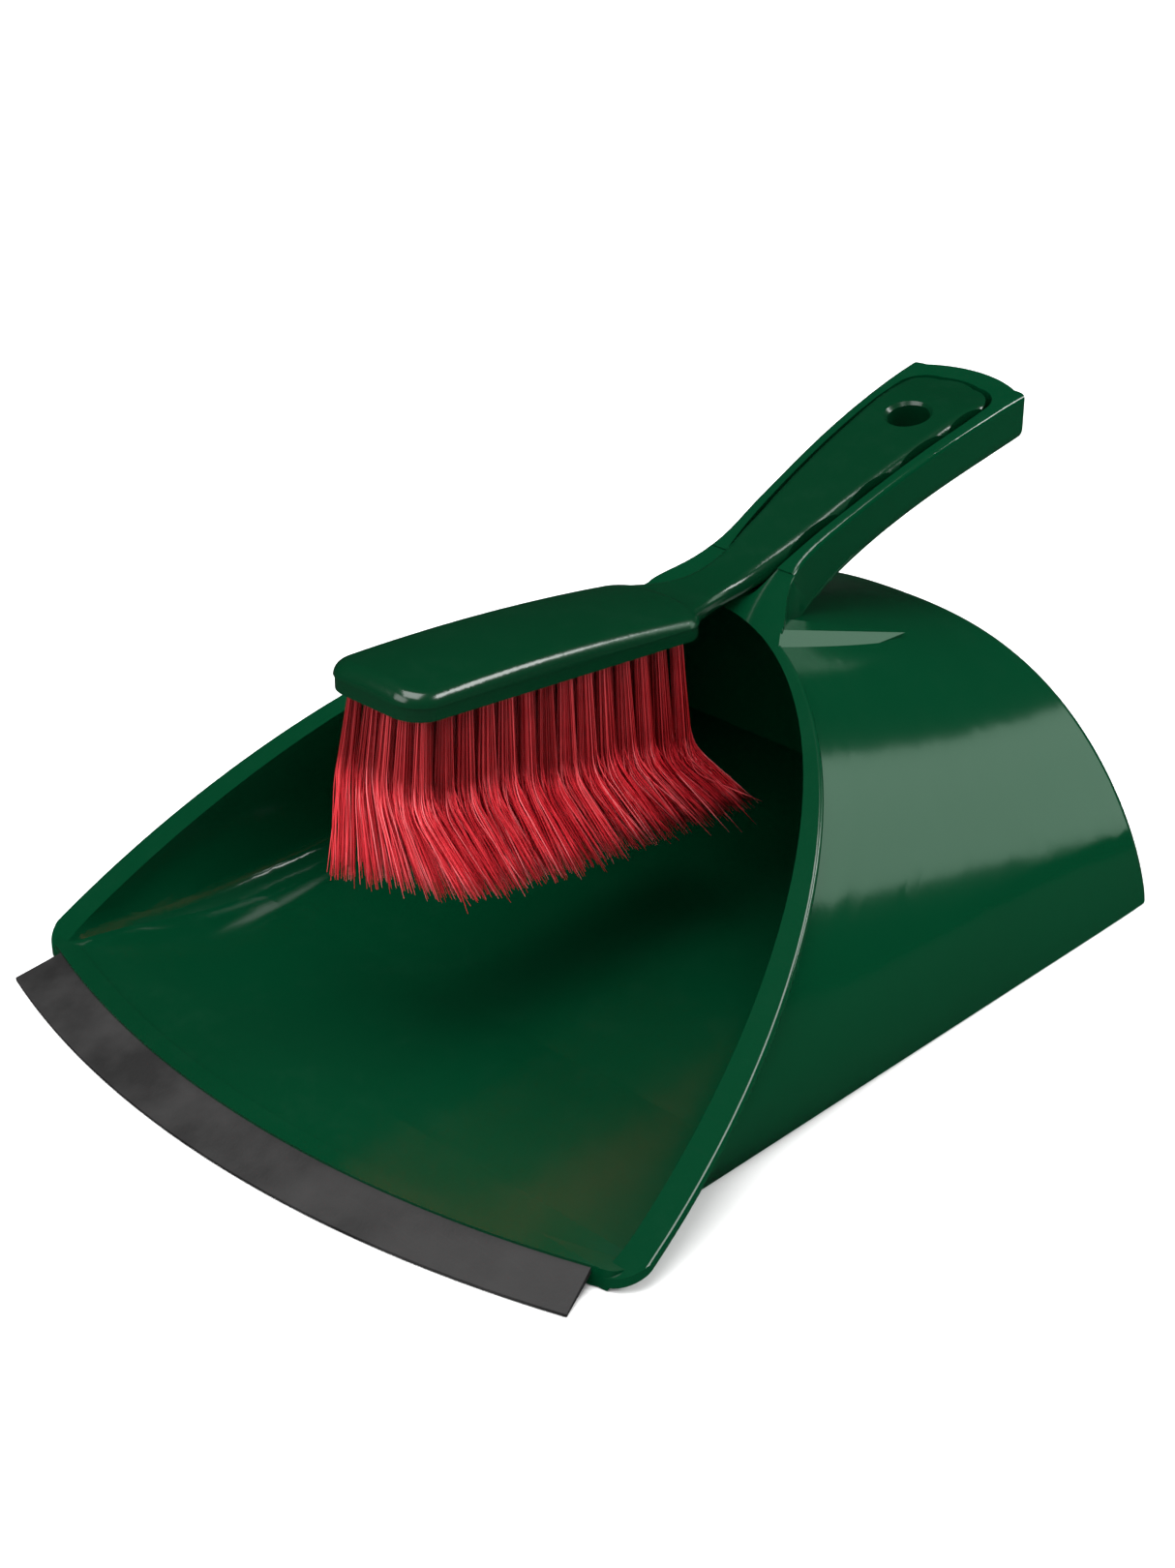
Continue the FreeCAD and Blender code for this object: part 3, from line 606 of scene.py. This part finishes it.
@dataclass
class BristleField:
    """The tufts as single filaments, which bend and spread as a used brush's do."""

    TONE = "strand_tone"
    ALONG = "strand_along"

    finishes: Finishes
    columns: int = 14
    strands: int = 58
    strand_radius: float = 0.2 * MM
    sides: int = 4
    packed_radius: float = 2.0 * MM
    bend_spread: float = 1.7
    tip_spread: float = 2.5
    bend_length: float = 6.0 * MM
    bend_jitter: float = 2.2 * MM
    length_jitter: float = 3.2 * MM
    length_reach: tuple[float, float] = (-1.0, 0.6)
    angle_jitter: float = 0.2
    tip_jitter: float = 0.9 * MM
    wave: float = 0.3 * MM
    wave_reach: float = 6.0
    end_taper: float = 0.7
    straight_points: int = 4
    bend_points: int = 5
    stray_share: float = 0.04
    stray_jitter: float = 3.0 * MM
    swirl: float = 9.0 * MM
    swirl_columns: float = 5.0
    end_depth: float = 2.4 * MM
    tip_depth: float = 3.0 * MM
    bend_margin: float = 12.0 * MM
    bulge_depth: float = 0.5 * MM
    seed: int = 7

    def build(self) -> list[bpy.types.Object]:
        """Build one object for each column of tufts.

        Returns:
            The new pieces, each riding on the brush in place of its CAD column.
        """
        chance = np.random.default_rng(self.seed)
        pieces = []
        for column in range(1, self.columns + 1):
            node = f"tuft_column_{column:02d}"
            lines = self.read_lines(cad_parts[node])
            turn = self.swirl * max(0.0, 1.0 - (column - 1) / self.swirl_columns)
            piece = self.build_column(f"bristle_column_{column:02d}", lines, turn, chance)
            dress(piece, self.finishes.bristle)
            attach(piece, Body.BRUSH.value)
            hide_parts(node)
            pieces.append(piece)
        return pieces

    def read_lines(self, node: bpy.types.Object) -> list[TuftLine]:
        """Find the middle line of every tuft of a CAD column.

        Args:
            node: the column's CAD object.

        Returns:
            One line for each tuft, from -X to +X.
        """
        mesh = node.data
        points = np.array([vertex.co for vertex in mesh.vertices], float)
        keys = {}
        owner = [keys.setdefault(tuple(np.round(p, 6)), i) for i, p in enumerate(points)]
        parent = list(range(len(points)))

        def find(i: int) -> int:
            """Find the vertex that stands for the tuft of a vertex.

            Args:
                i: a vertex's index.

            Returns:
                The index of the vertex that stands for its tuft.
            """
            while parent[i] != i:
                parent[i] = parent[parent[i]]
                i = parent[i]
            return i

        for edge in mesh.edges:
            first, second = (find(owner[i]) for i in edge.vertices)
            parent[second] = first
        groups = {}
        for i in range(len(points)):
            groups.setdefault(find(owner[i]), []).append(points[i])
        lines = []
        for group in groups.values():
            cloud = np.array(group)
            high = cloud[:, 2].max()
            low = cloud[:, 2].min()
            root = cloud[cloud[:, 2] > high - self.end_depth].mean(0)
            tip = cloud[cloud[:, 2] < low + self.tip_depth].mean(0)
            lines.append(TuftLine(root, self.find_bend(cloud, root, tip), tip))
        return sorted(lines, key=lambda line: line.root[0])

    def find_bend(self, cloud: np.ndarray, root: np.ndarray, tip: np.ndarray) -> np.ndarray:
        """Find where a tuft bends.

        Args:
            cloud: the tuft's vertices.
            root: the middle of its root.
            tip: the middle of its tip.

        Returns:
            The middle of the vertices that lie furthest from the straight line, root to tip.
        """
        straight = (tip - root) / np.linalg.norm(tip - root)
        away = cloud - root
        inner = (cloud[:, 2] < root[2] - self.bend_margin) & (cloud[:, 2] > tip[2] + self.bend_margin)
        away = away[inner]
        out = away - np.outer(away @ straight, straight)
        bulge = -out[:, 1]
        chosen = bulge > bulge.max() - self.bulge_depth
        around = away[chosen].mean(0)
        near = np.abs((away - around) @ straight) < self.end_depth
        return root + away[near].mean(0)

    def strand_path(self, line: TuftLine, offset: np.ndarray, turn: float,
                    chance: np.random.Generator) -> np.ndarray:
        """Lay one strand along its tuft.

        Args:
            line: the tuft's middle line.
            offset: the strand's place in the tuft's root, across and along, from -1 to 1.
            turn: how far the tip is carried backwards, or forwards where it is negative.
            chance: the source of variation.

        Returns:
            The strand's points, from root to tip.
        """
        shift = np.array([offset[0], offset[1], 0.0]) * self.packed_radius
        root = line.root + shift
        bend = line.bend + shift * self.bend_spread
        bend[2] += chance.normal(0.0, 1.0) * self.bend_jitter
        swept = line.tip - line.bend
        swept /= np.linalg.norm(swept)
        tip = line.tip + shift * self.tip_spread
        tip += swept * chance.uniform(*self.length_reach) * self.length_jitter
        jitter = self.stray_jitter if chance.random() < self.stray_share else self.tip_jitter
        tip += chance.normal(0.0, 1.0, 3) * jitter
        tip[1] += turn
        down = (bend - root) / np.linalg.norm(bend - root)
        out = (tip - bend) / np.linalg.norm(tip - bend)
        before = bend - down * self.bend_length
        after = bend + out * self.bend_length
        points = []
        for share in np.linspace(0.0, 1.0, self.straight_points)[:-1]:
            points.append(root + (before - root) * share)
        for share in np.linspace(0.0, 1.0, self.bend_points):
            points.append((1 - share) ** 2 * before + 2 * share * (1 - share) * bend + share ** 2 * after)
        for share in np.linspace(0.0, 1.0, self.straight_points)[1:]:
            points.append(after + (tip - after) * share)
        path = np.array(points)
        along = np.linspace(0.0, 1.0, len(path))[:, None]
        phase = chance.uniform(0, 2 * math.pi, 3)
        path += (np.sin(along * self.wave_reach + phase) - np.sin(phase)) * along * self.wave
        return path

    def build_column(self, name: str, lines: list[TuftLine], turn: float,
                     chance: np.random.Generator) -> bpy.types.Object:
        """Build the strands of one column as one mesh of thin tubes.

        Args:
            name: the piece's name.
            lines: the middle lines of its tufts, from -X to +X.
            turn: how far the last tuft's tip is carried back and the first one's forwards.
            chance: the source of variation.

        Returns:
            The new object.
        """
        vertices = []
        faces = []
        tones = []
        alongs = []
        for line, side in zip(lines, np.linspace(-1.0, 1.0, len(lines))):
            for strand in range(self.strands):
                reach = math.sqrt((strand + 0.5) / self.strands)
                angle = strand * GOLDEN_ANGLE + chance.uniform(-self.angle_jitter, self.angle_jitter)
                offset = np.array([math.cos(angle), math.sin(angle)]) * reach
                path = self.strand_path(line, offset, turn * side, chance)
                self.add_tube(vertices, faces, path)
                count = len(path) * self.sides
                tones.extend([chance.uniform(0.0, 1.0)] * count)
                alongs.extend(np.repeat(np.linspace(0.0, 1.0, len(path)), self.sides))
        mesh = bpy.data.meshes.new(name)
        mesh.from_pydata(vertices, [], faces)
        for label, values in ((self.TONE, tones), (self.ALONG, alongs)):
            attribute = mesh.attributes.new(label, "FLOAT", "POINT")
            attribute.data.foreach_set("value", np.array(values, np.float32))
        mesh.polygons.foreach_set("use_smooth", [True] * len(mesh.polygons))
        mesh.update()
        piece = bpy.data.objects.new(name, mesh)
        bpy.context.scene.collection.objects.link(piece)
        return piece

    def add_tube(self, vertices: list, faces: list, path: np.ndarray) -> None:
        """Add one strand's closed tube to a mesh.

        Args:
            vertices: the mesh's vertices so far.
            faces: the mesh's faces so far.
            path: the strand's points.
        """
        start = len(vertices)
        tangent = np.gradient(path, axis=0)
        tangent /= np.linalg.norm(tangent, axis=1)[:, None]
        across = np.cross(tangent, (1.0, 0.0, 0.0))
        across /= np.linalg.norm(across, axis=1)[:, None]
        second = np.cross(tangent, across)
        last = len(path) - 1
        for index, point in enumerate(path):
            radius = self.strand_radius * (self.end_taper if index == last else 1.0)
            for side in range(self.sides):
                turn = 2 * math.pi * side / self.sides
                ring = across[index] * math.cos(turn) + second[index] * math.sin(turn)
                vertices.append(tuple(point + ring * radius))
        for index in range(last):
            low = start + index * self.sides
            for side in range(self.sides):
                other = (side + 1) % self.sides
                faces.append((low + side, low + other, low + self.sides + other, low + self.sides + side))
        faces.append(tuple(start + side for side in reversed(range(self.sides))))
        end = start + last * self.sides
        faces.append(tuple(end + side for side in range(self.sides)))


# --------------------------------------------------------------------------------------------
# Studio
# --------------------------------------------------------------------------------------------


@dataclass(frozen=True)
class SoftBox:
    """A rectangular studio lamp that points at a spot on the set."""

    name: str
    azimuth: float
    elevation: float
    distance: float
    width: float
    height: float
    power: float
    colour: tuple[float, float, float] = (1.0, 1.0, 1.0)
    target: tuple[float, float, float] = (0.0, 0.0, 0.05)

    def build(self) -> bpy.types.Object:
        """Build the lamp.

        Returns:
            The lamp object.
        """
        lamp = bpy.data.lights.new(self.name, "AREA")
        lamp.shape = "RECTANGLE"
        lamp.size = self.width
        lamp.size_y = self.height
        lamp.energy = self.power
        lamp.color = self.colour
        turn = math.radians(self.azimuth)
        rise = math.radians(self.elevation)
        away = Vector((math.sin(turn) * math.cos(rise), math.cos(turn) * math.cos(rise), math.sin(rise)))
        lamp_object = bpy.data.objects.new(self.name, lamp)
        target = Vector(self.target)
        lamp_object.location = target + away * self.distance
        lamp_object.rotation_euler = away.to_track_quat("Z", "Y").to_euler()
        bpy.context.scene.collection.objects.link(lamp_object)
        return lamp_object


@dataclass
class Studio:
    """Camera, pale floor and soft light."""

    camera_place: tuple[float, float, float] = (0.5705, -0.6347, 0.5074)
    camera_target: tuple[float, float, float] = (0.0022, -0.0412, 0.0683)
    lens: float = 65.7
    sensor: float = 36.0
    nearest: float = 0.01
    floor_size: float = 8.0
    floor_drop: float = 0.0004
    floor_colour: tuple[float, float, float] = (0.93, 0.93, 0.93)
    floor_shade: tuple[float, float, float] = (0.012, 0.012, 0.012)
    floor_roughness: float = 0.9
    floor_specular: float = 0.1
    world_strength: float = 0.95
    glossy_world_strength: float = 0.01
    boxes: tuple[SoftBox, ...] = (
        SoftBox("back_strip", 23.0, 16.0, 1.5, 0.58, 0.76, 2.7, colour=(0.72, 1.0, 0.82),
                target=(0.09, 0.04, 0.065)),
        SoftBox("edge_light", 40.0, 36.0, 1.5, 0.5, 0.4, 8.0),
        SoftBox("overhead", 150.0, 80.0, 1.7, 1.2, 1.2, 30.0),
        SoftBox("front_fill", 190.0, 38.0, 2.2, 1.5, 1.2, 22.0),
    )

    def build(self) -> None:
        """Build the camera, floor, world and lamps."""
        self.build_camera()
        self.build_floor()
        self.build_world()
        for box in self.boxes:
            box.build()

    def build_camera(self) -> None:
        """Set the camera where the set is seen from its front right, a little above."""
        camera = bpy.data.cameras.new("studio_camera")
        camera.lens = self.lens
        camera.sensor_width = self.sensor
        camera.sensor_fit = "AUTO"
        camera.clip_start = self.nearest
        holder = bpy.data.objects.new("studio_camera", camera)
        place = Vector(self.camera_place)
        holder.location = place
        holder.rotation_euler = (Vector(self.camera_target) - place).to_track_quat("-Z", "Y").to_euler()
        bpy.context.scene.collection.objects.link(holder)
        bpy.context.scene.camera = holder

    def build_floor(self) -> None:
        """Lay a plain pale floor just under the set, which glossy plastic mirrors only faintly."""
        mesh = bpy.data.meshes.new("studio_floor")
        half = self.floor_size / 2
        low = CAD_BOUNDS[0][2] - self.floor_drop
        corners = [(-half, -half, low), (half, -half, low), (half, half, low), (-half, half, low)]
        mesh.from_pydata(corners, [], [(0, 1, 2, 3)])
        floor = bpy.data.objects.new("studio_floor", mesh)
        bpy.context.scene.collection.objects.link(floor)
        material = bpy.data.materials.new("studio_floor_finish")
        material.use_nodes = True
        shader = material.node_tree.nodes["Principled BSDF"]
        w = NodeTreeWriter(material.node_tree)
        path = w.add("ShaderNodeLightPath")
        w.link(w.mix(path.outputs["Is Glossy Ray"], (*self.floor_colour, 1.0), (*self.floor_shade, 1.0)),
               shader.inputs["Base Color"])
        shader.inputs["Roughness"].default_value = self.floor_roughness
        shader.inputs["Specular IOR Level"].default_value = self.floor_specular
        mesh.materials.append(material)

    def build_world(self) -> None:
        """Surround the set with even white light that glossy faces see only faintly."""
        world = bpy.data.worlds.new("studio_world")
        bpy.context.scene.world = world
        world.use_nodes = True
        w = NodeTreeWriter(world.node_tree)
        background = world.node_tree.nodes["Background"]
        path = w.add("ShaderNodeLightPath")
        dim = w.math("MULTIPLY", path.outputs["Is Glossy Ray"],
                     self.glossy_world_strength - self.world_strength)
        strength = w.math("ADD", dim, self.world_strength)
        background.inputs["Color"].default_value = (1.0, 1.0, 1.0, 1.0)
        w.link(strength, background.inputs["Strength"])
        bpy.context.scene.view_settings.view_transform = "Standard"


def main() -> None:
    """Build the studio, then each sub-assembly in order."""
    logging.basicConfig(level=logging.INFO, format="%(name)s: %(message)s")
    Studio().build()
    finishes = Finishes()
    for assembly in (DustPan(finishes), HandBrush(finishes), BristleField(finishes)):
        for piece in assembly.build():
            LOG.info("%s: %d faces", piece.name, len(piece.data.polygons))


if __name__ == "__main__":
    main()
